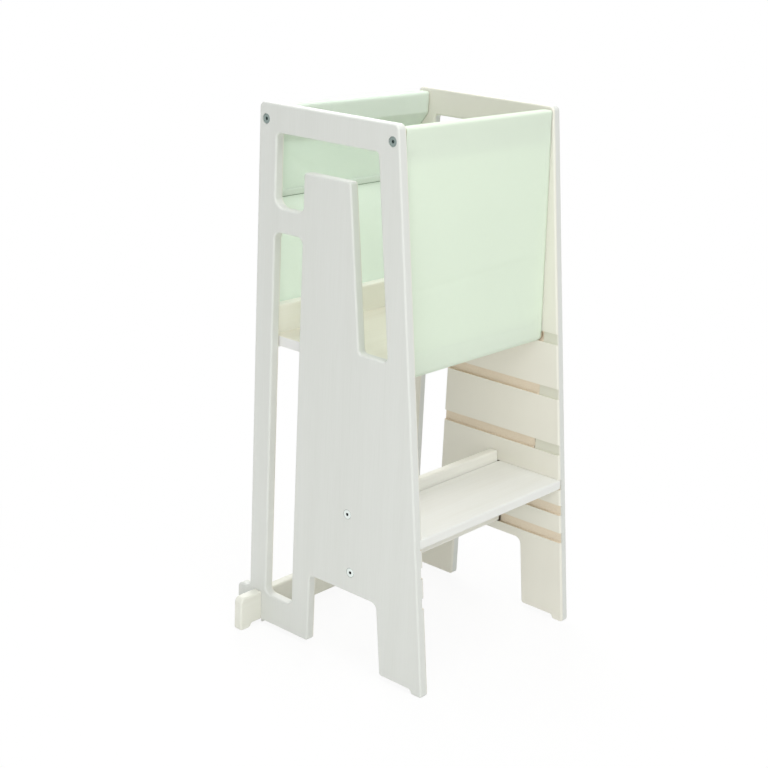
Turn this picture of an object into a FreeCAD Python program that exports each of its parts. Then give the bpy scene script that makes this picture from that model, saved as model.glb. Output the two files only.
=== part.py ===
import FreeCAD, Part
import math
import os

from FreeCAD import Placement, Rotation, Vector

# A child's kitchen helper tower: two one-piece side panels, two top rails with cloth guards,
# a platform and a step that slide into grooves, a leaning riser and a rear base board.
# Millimetres. X is the width, -Y the step side, +Y the worktop side, +Z up from the floor.

# Driving sizes: the side panels' outline
HEIGHT = 900.0
INNER_WIDTH = 370.0
BOARD = 18.0
TOP_DEPTH = 290.4
FRONT_LEAN_DEG = 6.64
POST_WIDTH = 39.4
REAR_SLOT_WIDTH = 61.7
REAR_FOOT_WIDTH = 39.9
FRONT_POST_WIDTH = 43.2
FRONT_SLOT_WIDTH = 58.8
FRONT_FOOT_WIDTH = 90.3
TOE_LENGTH = 29.0
TOE_TOP = 60.0
NOTCH_TOP = 129.0
WINDOW_TOP = 854.4
WINDOW_FLOOR = 736.0
CROSS_BAR = 40.0
TONGUE_TOP = 801.0
FRONT_SLOT_FLOOR = 536.0
FOOT_RELIEF = 7.0
FRONT_PAD = 21.5
REAR_PAD = 58.0
PAD_RISE = 4.0

# Driving sizes: corners and edges
OUTER_CORNER = 10.0
INNER_CORNER = 12.0
SCOOP_CORNER = 18.0
WINDOW_CORNER = 7.0
TONGUE_CORNER = 5.0
FRONT_NOTCH_CORNER = 12.0
FOOT_CORNER = 5.0
PAD_CORNER = 4.0
EDGE_ROUND = 3.5
BATTEN_ROUND = 3.0

# Driving sizes: grooves
PLATFORM_TOP_LEVEL = 509.8
PLATFORM_MIDDLE_LEVEL = 414.1
PLATFORM_LOW_LEVEL = 315.0
STEP_TOP_LEVEL = 252.7
STEP_MIDDLE_LEVEL = 206.3
STEP_LOW_LEVEL = 156.0
STEP_REAR_CORNER = 12.0
GROOVE_DEPTH = 6.0
GROOVE_STOP_ROUND = 9.1
GROOVE_REAR_ROUND = 1.0
GROOVE_BEHIND_RISER_FACE = 4.5
LEAD_IN_DEPTH = 2.5
PLATFORM_STOP = 29.8
SLIDE_CLEARANCE = 0.3

# Driving sizes: rails, riser and base board
RAIL_HEIGHT = 36.0
RAIL_DROP = 26.3
FRONT_RAIL_INSET = 13.7
REAR_RAIL_INSET = 15.1
RISER_SETBACK = 143.4
RISER_MID_HEIGHT = 214.5
RISER_HEIGHT = 132.0
RISER_BOLT_SPACING = 99.6
BASE_LENGTH = 500.0
BASE_HEIGHT = 60.0
BASE_TOE_GAP = 40.6
BASE_PAD = 22.0
HALVING_CLEARANCE = 0.2

# Driving sizes: platform and its upstand
UPSTAND_HEIGHT = 47.6
UPSTAND_SETBACK = 7.1
POST_CLEARANCE = 1.5
PLATFORM_ROUND = 3.0

# Driving sizes: cloth guards and hem rods
CLOTH = 1.5
CLOTH_CLEARANCE = 0.3
CLOTH_SIDE_GAP = 1.5
FRONT_ROD_RADIUS = 8.0
FRONT_ROD_OFFSET = 12.8
REAR_ROD_RADIUS = 4.0
FLAP_DROP = 111.5
ROD_CLEARANCE = 0.15

# Driving sizes: screws and inserts
BOLT_RADIUS = 3.0
BOLT_HEAD_RADIUS = 8.0
BOLT_HEAD_THICKNESS = 2.6
BOLT_HEAD_ROUND = 0.8
SOCKET_ACROSS_FLATS = 5.0
SOCKET_DEPTH = 2.0
RAIL_HEAD_RECESS = 1.2
RISER_HEAD_RECESS = 0.2
BORE_CLEARANCE = 0.2
INSERT_RADIUS = 5.0
INSERT_LENGTH = 15.0
SCREW_RADIUS = 2.0
SCREW_HEAD_RADIUS = 4.0
SCREW_HEAD_HEIGHT = 2.4
SCREW_DEPTH = 25.0
SCREW_COUNT = 3
SCREW_END_INSET = 45.0

# Two edges closer than this are at the same place
SAME_PLACE = 0.01

# Sizes worked out from the driving ones
PLATFORM_LEVELS = (PLATFORM_TOP_LEVEL, PLATFORM_MIDDLE_LEVEL, PLATFORM_LOW_LEVEL)
STEP_LEVELS = (STEP_TOP_LEVEL, STEP_MIDDLE_LEVEL, STEP_LOW_LEVEL)
LEAN = math.tan(math.radians(FRONT_LEAN_DEG))
LEAN_COS = math.cos(math.radians(FRONT_LEAN_DEG))
INNER_X = INNER_WIDTH / 2
OUTER_X = INNER_X + BOARD
FRONT_TOE_GAIN = FOOT_CORNER * (1 / LEAN_COS - 1)
FULL_RUN = TOP_DEPTH + (HEIGHT - FOOT_CORNER) * LEAN - FRONT_TOE_GAIN
REAR_EDGE = (FULL_RUN - TOE_LENGTH) / 2
TOE_END = REAR_EDGE + TOE_LENGTH
POST_FRONT = REAR_EDGE - POST_WIDTH
BODY_REAR = POST_FRONT - REAR_SLOT_WIDTH
REAR_FOOT_FRONT = BODY_REAR - REAR_FOOT_WIDTH
SLOT_TOP = WINDOW_FLOOR - CROSS_BAR
GROOVE_HEIGHT = BOARD + 2 * SLIDE_CLEARANCE
GROOVE_X = INNER_X + GROOVE_DEPTH
TONGUE_X = GROOVE_X - SLIDE_CLEARANCE
RAIL_Z = HEIGHT - RAIL_DROP


def front_y(z):
    """Y of the panels' leaning front edge at a height."""
    return REAR_EDGE - TOP_DEPTH - (HEIGHT - z) * LEAN


# The platform's grooves all stop at one depth, so that it fits at every level
GROOVE_STOP_Y = front_y(PLATFORM_TOP_LEVEL) + PLATFORM_STOP
FRONT_RAIL_Y = front_y(RAIL_Z) + FRONT_RAIL_INSET
REAR_RAIL_Y = REAR_EDGE - REAR_RAIL_INSET


def riser_y(z):
    """Y of the riser's middle plane at a height."""
    return front_y(z) + RISER_SETBACK


def riser_face_y(z):
    """Y of the riser's front face at a height."""
    return riser_y(z) - BOARD / 2 / LEAN_COS


def in_yz(x):
    """Returns a function that places a (y, z) pair on the plane at x."""
    return lambda y, z: Vector(x, y, z)


def in_xz(y):
    """Returns a function that places an (x, z) pair on the plane at y."""
    return lambda x, z: Vector(x, y, z)


def in_xy(z):
    """Returns a function that places an (x, y) pair on the plane at z."""
    return lambda x, y: Vector(x, y, z)


def rounded_loop(corners, place):
    """Closed wire through (a, b, radius) corners, each rounded by a tangent arc."""
    arcs = []
    count = len(corners)
    for index, (a, b, radius) in enumerate(corners):
        here = Vector(a, b, 0)
        before = Vector(*corners[index - 1][:2], 0) - here
        after = Vector(*corners[(index + 1) % count][:2], 0) - here
        before.normalize()
        after.normalize()
        half = before.getAngle(after) / 2
        run = radius / math.tan(half)
        bisector = before + after
        bisector.normalize()
        centre = here + bisector * (radius / math.sin(half))
        middle = centre - bisector * radius
        arcs.append((here + before * run, middle, here + after * run))
    edges = []
    for index, (start, middle, end) in enumerate(arcs):
        points = [place(p.x, p.y) for p in (start, middle, end)]
        edges.append(Part.Arc(*points).toShape())
        following = arcs[(index + 1) % count][0]
        edges.append(Part.LineSegment(points[2], place(following.x, following.y)).toShape())
    return Part.Wire(edges)


def prism(wire, travel):
    """Solid swept from a flat closed wire along a vector."""
    return Part.Face(wire).extrude(travel)


def box(low, high):
    """Box between two opposite corners."""
    size = [b - a for a, b in zip(low, high)]
    return Part.makeBox(*size, Vector(*low))


def round_edges(solid, radius, chosen=lambda edge: True):
    """Rounds the edges of a solid that a test chooses."""
    return solid.makeFillet(radius, [edge for edge in solid.Edges if chosen(edge)])


def flat_in(edge, axis, value):
    """True where a whole edge lies on the plane axis = value."""
    bounds = edge.BoundBox
    low, high = {
        "x": (bounds.XMin, bounds.XMax),
        "y": (bounds.YMin, bounds.YMax),
    }[axis]
    return abs(low - value) < SAME_PLACE and abs(high - value) < SAME_PLACE


def both_sides(maker):
    """A right-hand solid and its mirror image on the left, as one group."""
    right = maker()
    return Part.makeCompound([right.mirror(Vector(0, 0, 0), Vector(1, 0, 0)), right])


# Places of the bolts on the side panels, as (y, z, head recess)
def rail_bolt_places():
    """Bolts into the ends of the two top rails."""
    return [(FRONT_RAIL_Y, RAIL_Z, RAIL_HEAD_RECESS), (REAR_RAIL_Y, RAIL_Z, RAIL_HEAD_RECESS)]


def riser_bolt_places():
    """Bolts into the ends of the leaning riser."""
    half = RISER_BOLT_SPACING / 2 * LEAN_COS
    heights = (RISER_MID_HEIGHT + half, RISER_MID_HEIGHT - half)
    return [(riser_y(z), z, RISER_HEAD_RECESS) for z in heights]


# Side panels
def panel_outline():
    """Corners of a side panel, from the top of the front edge round to its foot."""
    notch_front = front_y(NOTCH_TOP) + FRONT_FOOT_WIDTH
    foot_back = front_y(FOOT_RELIEF) + FRONT_FOOT_WIDTH
    pad_back = front_y(0) + FRONT_PAD
    rear_pad_front = TOE_END - REAR_PAD
    return [
        (front_y(HEIGHT), HEIGHT, OUTER_CORNER),
        (REAR_EDGE, HEIGHT, OUTER_CORNER),
        (REAR_EDGE, TOE_TOP, OUTER_CORNER),
        (TOE_END, TOE_TOP, OUTER_CORNER),
        (TOE_END, 0, FOOT_CORNER),
        (rear_pad_front, 0, PAD_CORNER),
        (rear_pad_front - PAD_RISE, FOOT_RELIEF, PAD_CORNER),
        (REAR_FOOT_FRONT, FOOT_RELIEF, FOOT_CORNER),
        (REAR_FOOT_FRONT, NOTCH_TOP, OUTER_CORNER),
        (notch_front, NOTCH_TOP, FRONT_NOTCH_CORNER),
        (foot_back, FOOT_RELIEF, FOOT_CORNER),
        (pad_back + PAD_RISE, FOOT_RELIEF, PAD_CORNER),
        (pad_back, 0, PAD_CORNER),
        (front_y(0), 0, FOOT_CORNER),
    ]


def window_outline():
    """Corners of the window that wraps over the tongue and runs down both its sides."""
    tongue_front = FRONT_POST_WIDTH + FRONT_SLOT_WIDTH
    return [
        (POST_FRONT, WINDOW_FLOOR, SCOOP_CORNER),
        (BODY_REAR, WINDOW_FLOOR, INNER_CORNER),
        (BODY_REAR, TONGUE_TOP, TONGUE_CORNER),
        (front_y(TONGUE_TOP) + tongue_front, TONGUE_TOP, TONGUE_CORNER),
        (front_y(FRONT_SLOT_FLOOR) + tongue_front, FRONT_SLOT_FLOOR, WINDOW_CORNER),
        (front_y(FRONT_SLOT_FLOOR) + FRONT_POST_WIDTH, FRONT_SLOT_FLOOR, WINDOW_CORNER),
        (front_y(WINDOW_TOP) + FRONT_POST_WIDTH, WINDOW_TOP, WINDOW_CORNER),
        (POST_FRONT, WINDOW_TOP, WINDOW_CORNER),
    ]


def rear_slot_outline():
    """Corners of the tall slot between the body and the rear post."""
    return [
        (BODY_REAR, TOE_TOP, INNER_CORNER),
        (POST_FRONT, TOE_TOP, INNER_CORNER),
        (POST_FRONT, SLOT_TOP, INNER_CORNER),
        (BODY_REAR, SLOT_TOP, INNER_CORNER),
    ]


def platform_groove(level):
    """Groove for the platform: deep to its rounded stop, then a shallow lead-in to the front."""
    half = GROOVE_HEIGHT / 2
    stop = GROOVE_STOP_Y
    rear = BODY_REAR + BOARD
    ends = [
        (stop, level - half, GROOVE_STOP_ROUND),
        (rear, level - half, GROOVE_REAR_ROUND),
        (rear, level + half, GROOVE_REAR_ROUND),
        (stop, level + half, GROOVE_STOP_ROUND),
    ]
    deep = prism(rounded_loop(ends, in_yz(INNER_X)), Vector(GROOVE_DEPTH, 0, 0))
    lead_in = box(
        (INNER_X - BOARD, front_y(level) - BOARD, level - half),
        (INNER_X + LEAD_IN_DEPTH, stop + half, level + half),
    )
    return deep.fuse(lead_in)


def step_groove(level):
    """Groove for the step: open through the front edge, ending just behind the riser's face."""
    half = GROOVE_HEIGHT / 2
    return box(
        (INNER_X - BOARD, front_y(level) - BOARD, level - half),
        (GROOVE_X, riser_face_y(level) + GROOVE_BEHIND_RISER_FACE, level + half),
    )


def bolt_bore(y, z, recess):
    """Through hole and head seat for one bolt, along X through the right panel."""
    bore = Part.makeCylinder(
        BOLT_RADIUS + BORE_CLEARANCE, BOARD, Vector(INNER_X, y, z), Vector(1, 0, 0))
    seat_depth = BOLT_HEAD_THICKNESS + recess
    seat = Part.makeCylinder(
        BOLT_HEAD_RADIUS + BORE_CLEARANCE, seat_depth,
        Vector(OUTER_X - seat_depth, y, z), Vector(1, 0, 0))
    return bore.fuse(seat)


def right_side_panel():
    """The far side panel with its window, slot, grooves, bolt bores and base board slot."""
    through = Vector(BOARD, 0, 0)
    at_inner = in_yz(INNER_X)
    panel = prism(rounded_loop(panel_outline(), at_inner), through)
    panel = panel.cut(prism(rounded_loop(window_outline(), at_inner), through))
    panel = panel.cut(prism(rounded_loop(rear_slot_outline(), at_inner), through))
    panel = round_edges(
        panel, EDGE_ROUND,
        lambda edge: flat_in(edge, "x", INNER_X) or flat_in(edge, "x", OUTER_X))
    for level in PLATFORM_LEVELS:
        panel = panel.cut(platform_groove(level))
    for level in STEP_LEVELS:
        panel = panel.cut(step_groove(level))
    for place in rail_bolt_places() + riser_bolt_places():
        panel = panel.cut(bolt_bore(*place))
    board_front, board_rear = base_board_faces()
    halving = BASE_HEIGHT / 2 + HALVING_CLEARANCE / 2
    return panel.cut(box(
        (INNER_X - BOARD, board_front - HALVING_CLEARANCE, -BOARD),
        (OUTER_X + BOARD, board_rear + HALVING_CLEARANCE, halving)))


def left_side_panel():
    """The near side panel, the mirror image of the other."""
    return right_side_panel().mirror(Vector(0, 0, 0), Vector(1, 0, 0))


# Boards across the tower
def base_board_faces():
    """Y of the base board's front and rear faces."""
    rear = TOE_END - BASE_TOE_GAP
    return rear - BOARD, rear


def rear_base_board():
    """Board on the floor that crosses both rear feet in halving joints."""
    front, rear = base_board_faces()
    end = BASE_LENGTH / 2
    pad = end - BASE_PAD
    half_outline = [
        (end, BASE_HEIGHT, OUTER_CORNER),
        (end, 0, FOOT_CORNER),
        (pad, 0, PAD_CORNER),
        (pad - PAD_RISE, FOOT_RELIEF, PAD_CORNER),
    ]
    mirrored = [(-x, z, radius) for x, z, radius in reversed(half_outline)]
    outline = rounded_loop(half_outline + mirrored, in_xz(front))
    board = prism(outline, Vector(0, BOARD, 0))
    board = round_edges(
        board, EDGE_ROUND, lambda edge: flat_in(edge, "y", front) or flat_in(edge, "y", rear))
    floor = BASE_HEIGHT / 2 - HALVING_CLEARANCE / 2
    notch = box(
        (INNER_X - HALVING_CLEARANCE, front - BOARD, floor),
        (OUTER_X + HALVING_CLEARANCE, rear + BOARD, BASE_HEIGHT + BOARD))
    mirrored_notch = notch.mirror(Vector(0, 0, 0), Vector(1, 0, 0))
    return board.cut(notch).cut(mirrored_notch)


def insert_pockets(places):
    """Pockets for threaded inserts in both ends of a board or rail."""
    radius = INSERT_RADIUS
    depth = INSERT_LENGTH + 2 * SLIDE_CLEARANCE
    pockets = []
    for side in (-1, 1):
        for y, z, _ in places:
            start = Vector(side * INNER_X, y, z)
            pockets.append(Part.makeCylinder(radius, depth, start, Vector(-side, 0, 0)))
    return Part.makeCompound(pockets)


def top_rail(y):
    """Flat batten between the panels with an insert pocket in each end."""
    low = (-INNER_X, y - BOARD / 2, RAIL_Z - RAIL_HEIGHT / 2)
    high = (INNER_X, y + BOARD / 2, RAIL_Z + RAIL_HEIGHT / 2)
    rail = round_edges(
        box(low, high), BATTEN_ROUND, lambda edge: edge.BoundBox.XLength > INNER_X)
    return rail.cut(insert_pockets([(y, RAIL_Z, 0)]))


def front_top_rail():
    """Rail at the step side."""
    return top_rail(FRONT_RAIL_Y)


def rear_top_rail():
    """Rail at the worktop side."""
    return top_rail(REAR_RAIL_Y)


def riser_board():
    """Board behind the step levels, leaning with the panels' front edge."""
    low = (-INNER_X, -BOARD / 2, -RISER_HEIGHT / 2)
    high = (INNER_X, BOARD / 2, RISER_HEIGHT / 2)
    board = round_edges(box(low, high), EDGE_ROUND)
    centre = Vector(0, riser_y(RISER_MID_HEIGHT), RISER_MID_HEIGHT)
    board.Placement = Placement(centre, Rotation(Vector(1, 0, 0), -FRONT_LEAN_DEG))
    return board.cut(insert_pockets(riser_bolt_places()))


def step_board():
    """Loose step in the top step grooves, flush with the panels' front edge."""
    level = STEP_LEVELS[0]
    front = front_y(level + BOARD / 2)
    rear = riser_face_y(level - BOARD / 2) - SLIDE_CLEARANCE
    board = box((-TONGUE_X, front, level - BOARD / 2), (TONGUE_X, rear, level + BOARD / 2))
    board = round_edges(
        board, STEP_REAR_CORNER,
        lambda edge: flat_in(edge, "y", rear) and edge.BoundBox.XLength < SAME_PLACE)
    return round_edges(board, EDGE_ROUND, lambda edge: flat_in(edge, "y", front))


def rod_centre():
    """Y and Z of the front hem rod, drawn up against the roof of the top groove."""
    level = PLATFORM_LEVELS[0]
    y = GROOVE_STOP_Y + FRONT_ROD_OFFSET
    return y, level + GROOVE_HEIGHT / 2 - FRONT_ROD_RADIUS - ROD_CLEARANCE


def upstand_faces():
    """Y of the upstand's front and rear faces."""
    rear = REAR_EDGE - UPSTAND_SETBACK
    return rear - BOARD, rear


def screw_places():
    """X of the screws that hold the upstand."""
    reach = INNER_X - SCREW_END_INSET
    gap = 2 * reach / (SCREW_COUNT - 1)
    return [-reach + gap * index for index in range(SCREW_COUNT)]


def screw_solid(x, clearance):
    """Countersunk screw pointing up from the platform's underside."""
    y = sum(upstand_faces()) / 2
    bottom = Vector(x, y, PLATFORM_LEVELS[0] - BOARD / 2)
    up = Vector(0, 0, 1)
    shank = Part.makeCylinder(
        SCREW_RADIUS + clearance, BOARD + SCREW_DEPTH + clearance, bottom, up)
    head = Part.makeCone(
        SCREW_HEAD_RADIUS + clearance, SCREW_RADIUS + clearance, SCREW_HEAD_HEIGHT, bottom, up)
    return shank.fuse(head)


def platform_board():
    """Standing board: wide in the grooves, narrow between the rear posts."""
    level = PLATFORM_LEVELS[0]
    rod_y, _ = rod_centre()
    front = rod_y + FRONT_ROD_RADIUS + CLOTH + 2 * CLOTH_CLEARANCE
    _, rear = upstand_faces()
    shoulder = BODY_REAR - SLIDE_CLEARANCE
    neck_x = INNER_X - POST_CLEARANCE
    outline = [
        (TONGUE_X, front, PLATFORM_ROUND),
        (TONGUE_X, shoulder, PLATFORM_ROUND),
        (neck_x, shoulder, PLATFORM_ROUND),
        (neck_x, rear, PLATFORM_ROUND),
    ]
    mirrored = [(-x, y, radius) for x, y, radius in reversed(outline)]
    wire = rounded_loop(outline + mirrored, in_xy(level - BOARD / 2))
    board = prism(wire, Vector(0, 0, BOARD))
    board = round_edges(
        board, PLATFORM_ROUND,
        lambda edge: flat_in(edge, "y", front) or is_neck_edge(edge, neck_x, shoulder))
    for x in screw_places():
        board = board.cut(screw_solid(x, BORE_CLEARANCE))
    return board


def is_neck_edge(edge, neck_x, shoulder):
    """True for the long straight edges down the sides of the platform's narrow part."""
    bounds = edge.BoundBox
    on_side = (
        abs(abs(edge.CenterOfMass.x) - neck_x) < SAME_PLACE and bounds.XLength < SAME_PLACE)
    return on_side and bounds.YMin > shoulder and bounds.ZLength < SAME_PLACE


def platform_upstand():
    """Low stop board on the platform's rear end, between the posts."""
    front, rear = upstand_faces()
    bottom = PLATFORM_LEVELS[0] + BOARD / 2
    reach = INNER_X - POST_CLEARANCE
    board = box((-reach, front, bottom), (reach, rear, bottom + UPSTAND_HEIGHT))
    top = bottom + UPSTAND_HEIGHT
    board = round_edges(
        board, PLATFORM_ROUND,
        lambda edge: edge.BoundBox.ZMin > top - SAME_PLACE and edge.BoundBox.XLength > INNER_X)
    for x in screw_places():
        board = board.cut(screw_solid(x, BORE_CLEARANCE))
    return board


# Cloth guards and their rods
CLOTH_X = INNER_X - CLOTH_SIDE_GAP
CLOTH_TRAVEL = Vector(2 * CLOTH_X, 0, 0)
SLEEVE_INNER_HALF = BOARD / 2 + CLOTH_CLEARANCE
SLEEVE_OUTER_HALF = SLEEVE_INNER_HALF + CLOTH


def sleeve(y):
    """Cloth sleeve round a top rail."""
    def layer(offset):
        half_y = BOARD / 2 + offset
        half_z = RAIL_HEIGHT / 2 + offset
        radius = BATTEN_ROUND + offset
        corners = [
            (y - half_y, RAIL_Z - half_z, radius),
            (y + half_y, RAIL_Z - half_z, radius),
            (y + half_y, RAIL_Z + half_z, radius),
            (y - half_y, RAIL_Z + half_z, radius),
        ]
        return prism(rounded_loop(corners, in_yz(-CLOTH_X)), CLOTH_TRAVEL)
    return layer(CLOTH_CLEARANCE + CLOTH).cut(layer(CLOTH_CLEARANCE))


def hem_roll(y, z, rod_radius):
    """Cloth rolled round a hem rod."""
    start = Vector(-CLOTH_X, y, z)
    along = Vector(1, 0, 0)
    inner = rod_radius + CLOTH_CLEARANCE
    outer = Part.makeCylinder(inner + CLOTH, 2 * CLOTH_X, start, along)
    return outer.cut(Part.makeCylinder(inner, 2 * CLOTH_X, start, along))


def sheet(top, bottom):
    """Flat cloth between two (y, z) points of its outer face; its thickness runs inwards."""
    direction = Vector(0, bottom[0] - top[0], bottom[1] - top[1])
    direction.normalize()
    inwards = Vector(0, -direction.z, direction.y) * CLOTH
    if (top[0] > 0) == (inwards.y > 0):
        inwards = inwards * -1
    first = Vector(-CLOTH_X, *top)
    second = Vector(-CLOTH_X, *bottom)
    corners = [first, second, second + inwards, first + inwards, first]
    return prism(Part.makePolygon(corners), CLOTH_TRAVEL)


def front_cloth():
    """Guard at the step side, from the rail's sleeve down to the hem rod in the grooves."""
    rod_y, rod_z = rod_centre()
    roll = FRONT_ROD_RADIUS + CLOTH_CLEARANCE + CLOTH
    top = (FRONT_RAIL_Y - SLEEVE_OUTER_HALF, RAIL_Z)
    bottom = (rod_y - roll, rod_z)
    return sleeve(FRONT_RAIL_Y).fuse(
        [sheet(top, bottom), hem_roll(rod_y, rod_z, FRONT_ROD_RADIUS)])


def rear_rod_centre():
    """Y and Z of the rear hem rod, drawn up under the platform's rear end."""
    roll = REAR_ROD_RADIUS + CLOTH_CLEARANCE + CLOTH
    y = REAR_RAIL_Y + SLEEVE_OUTER_HALF - roll
    return y, PLATFORM_LEVELS[0] - BOARD / 2 - CLOTH_CLEARANCE - roll


def rear_cloth():
    """Guard at the worktop side, down behind the upstand to its own hem rod."""
    rod_y, rod_z = rear_rod_centre()
    outer_y = REAR_RAIL_Y + SLEEVE_OUTER_HALF
    return sleeve(REAR_RAIL_Y).fuse([
        sheet((outer_y, RAIL_Z), (outer_y, rod_z)),
        hem_roll(rod_y, rod_z, REAR_ROD_RADIUS),
    ])


def rear_cloth_flap():
    """Loose inner end of the rear cloth, hanging below the sleeve against the sheet."""
    front = REAR_RAIL_Y + SLEEVE_OUTER_HALF - 2 * CLOTH - CLOTH_CLEARANCE
    top = RAIL_Z - RAIL_HEIGHT / 2 - CLOTH - 2 * CLOTH_CLEARANCE
    return box((-CLOTH_X, front, top - FLAP_DROP), (CLOTH_X, front + CLOTH, top))


def front_hem_rod():
    """Rod in the front cloth's hem, its ends in the top platform grooves."""
    start = Vector(-TONGUE_X, *rod_centre())
    return Part.makeCylinder(FRONT_ROD_RADIUS, 2 * TONGUE_X, start, Vector(1, 0, 0))


def rear_hem_rod():
    """Rod in the rear cloth's hem, between the posts."""
    start = Vector(-CLOTH_X, *rear_rod_centre())
    return Part.makeCylinder(REAR_ROD_RADIUS, 2 * CLOTH_X, start, Vector(1, 0, 0))


# Fasteners
def hexagon(across_flats, centre):
    """Closed wire of a hexagon on a plane of constant x."""
    reach = across_flats / 2 / math.cos(math.pi / 6)
    points = []
    for index in range(7):
        angle = math.pi / 3 * index
        points.append(centre + Vector(0, reach * math.cos(angle), reach * math.sin(angle)))
    return Part.makePolygon(points)


def bolt(y, z, recess):
    """Flat-headed socket bolt along -X from the right panel's outer face."""
    outer = OUTER_X - recess
    seat = outer - BOLT_HEAD_THICKNESS
    tip = INNER_X - INSERT_LENGTH + SLIDE_CLEARANCE
    along = Vector(1, 0, 0)
    head = Part.makeCylinder(BOLT_HEAD_RADIUS, BOLT_HEAD_THICKNESS, Vector(seat, y, z), along)
    head = round_edges(head, BOLT_HEAD_ROUND, lambda edge: flat_in(edge, "x", outer))
    shank = Part.makeCylinder(BOLT_RADIUS, seat - tip, Vector(tip, y, z), along)
    socket = prism(
        hexagon(SOCKET_ACROSS_FLATS, Vector(outer - SOCKET_DEPTH, y, z)),
        Vector(SOCKET_DEPTH, 0, 0))
    return head.fuse(shank).cut(socket)


def insert(y, z):
    """Threaded insert in the right end of a rail or board."""
    start = Vector(INNER_X - INSERT_LENGTH - SLIDE_CLEARANCE, y, z)
    along = Vector(1, 0, 0)
    sleeve_wall = Part.makeCylinder(INSERT_RADIUS - BORE_CLEARANCE, INSERT_LENGTH, start, along)
    bore = Part.makeCylinder(BOLT_RADIUS + BORE_CLEARANCE, INSERT_LENGTH, start, along)
    return sleeve_wall.cut(bore)


def group(makers):
    """Mirrored pairs of solids as one group."""
    solids = []
    for maker in makers:
        solids += both_sides(maker).Solids
    return Part.makeCompound(solids)


def rail_bolts():
    """The four bolts that hold the top rails."""
    return group([lambda place=place: bolt(*place) for place in rail_bolt_places()])


def riser_bolts():
    """The four bolts that hold the riser."""
    return group([lambda place=place: bolt(*place) for place in riser_bolt_places()])


def rail_inserts():
    """The inserts in the ends of the top rails."""
    return group([lambda place=place: insert(*place[:2]) for place in rail_bolt_places()])


def riser_inserts():
    """The inserts in the ends of the riser."""
    return group([lambda place=place: insert(*place[:2]) for place in riser_bolt_places()])


def upstand_screws():
    """The screws that hold the upstand on the platform."""
    return Part.makeCompound([screw_solid(x, 0.0) for x in screw_places()])


PIECES = {
    "left_side_panel": left_side_panel,
    "right_side_panel": right_side_panel,
    "front_top_rail": front_top_rail,
    "rear_top_rail": rear_top_rail,
    "riser_board": riser_board,
    "rear_base_board": rear_base_board,
    "platform_board": platform_board,
    "platform_upstand": platform_upstand,
    "step_board": step_board,
    "front_cloth": front_cloth,
    "rear_cloth": rear_cloth,
    "rear_cloth_flap": rear_cloth_flap,
    "front_hem_rod": front_hem_rod,
    "rear_hem_rod": rear_hem_rod,
    "rail_bolts": rail_bolts,
    "riser_bolts": riser_bolts,
    "rail_inserts": rail_inserts,
    "riser_inserts": riser_inserts,
    "upstand_screws": upstand_screws,
}


def main():
    """Writes one STEP file for each piece."""
    os.makedirs("parts", exist_ok=True)
    for name, maker in PIECES.items():
        shape = maker()
        bounds = shape.BoundBox
        print(
            f"{name}: {len(shape.Solids)} solids, valid {shape.isValid()}, "
            f"volume {shape.Volume / 1000:.1f} cm3, "
            f"x {bounds.XMin:.1f}..{bounds.XMax:.1f}, y {bounds.YMin:.1f}..{bounds.YMax:.1f}, "
            f"z {bounds.ZMin:.1f}..{bounds.ZMax:.1f}")
        shape.exportStep(f"parts/{name}.step")


main()
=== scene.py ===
import logging
import math
from collections.abc import Callable
from dataclasses import dataclass, field
from enum import Enum

import bmesh
import bpy
from bmesh.types import BMesh, BMVert
from bpy.types import ID, Material, Node, NodeSocket, NodeTree, Object
from mathutils import Matrix, Quaternion, Vector, noise


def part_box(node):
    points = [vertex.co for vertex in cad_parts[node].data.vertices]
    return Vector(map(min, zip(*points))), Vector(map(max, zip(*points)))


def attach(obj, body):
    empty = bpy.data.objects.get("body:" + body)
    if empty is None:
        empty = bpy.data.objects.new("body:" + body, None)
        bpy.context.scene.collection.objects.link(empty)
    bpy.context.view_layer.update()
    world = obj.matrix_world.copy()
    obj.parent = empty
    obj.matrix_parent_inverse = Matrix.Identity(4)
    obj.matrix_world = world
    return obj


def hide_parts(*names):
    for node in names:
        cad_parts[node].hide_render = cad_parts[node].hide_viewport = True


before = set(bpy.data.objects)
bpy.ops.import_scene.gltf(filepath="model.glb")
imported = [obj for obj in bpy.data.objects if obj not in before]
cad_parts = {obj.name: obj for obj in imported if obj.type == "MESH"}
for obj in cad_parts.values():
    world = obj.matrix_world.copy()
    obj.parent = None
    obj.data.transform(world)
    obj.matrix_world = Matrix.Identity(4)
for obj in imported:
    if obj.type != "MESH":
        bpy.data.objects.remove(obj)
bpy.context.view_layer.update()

# The looks of a child's kitchen helper tower: painted birch plywood panels, canvas guards on two
# rails, a platform, and a step that slides out. The cloth is drawn in millimetres and scaled once.

MM = 0.001
# A wave texture at scale 1 has waves of this length.
WAVE_LENGTH = math.pi / 10
LOG = logging.getLogger("helper_tower")

Colour = tuple[float, float, float, float]
Point = tuple[float, float]
Place = tuple[float, float, float]


def add_object(name: str, data: ID) -> Object:
    """Adds an object with the given data to the scene."""
    thing = bpy.data.objects.new(name, data)
    bpy.context.scene.collection.objects.link(thing)
    return thing


def linear(code: str) -> Colour:
    """Turns an sRGB hex colour into the linear one that a shader takes.

    Args:
        code: the colour as #RRGGBB.

    Returns:
        Linear red, green and blue, with an alpha of 1.
    """
    shares = [int(code[at:at + 2], 16) / 255 for at in (1, 3, 5)]
    red, green, blue = (s / 12.92 if s <= 0.04045 else ((s + 0.055) / 1.055) ** 2.4 for s in shares)
    return red, green, blue, 1.0


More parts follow.
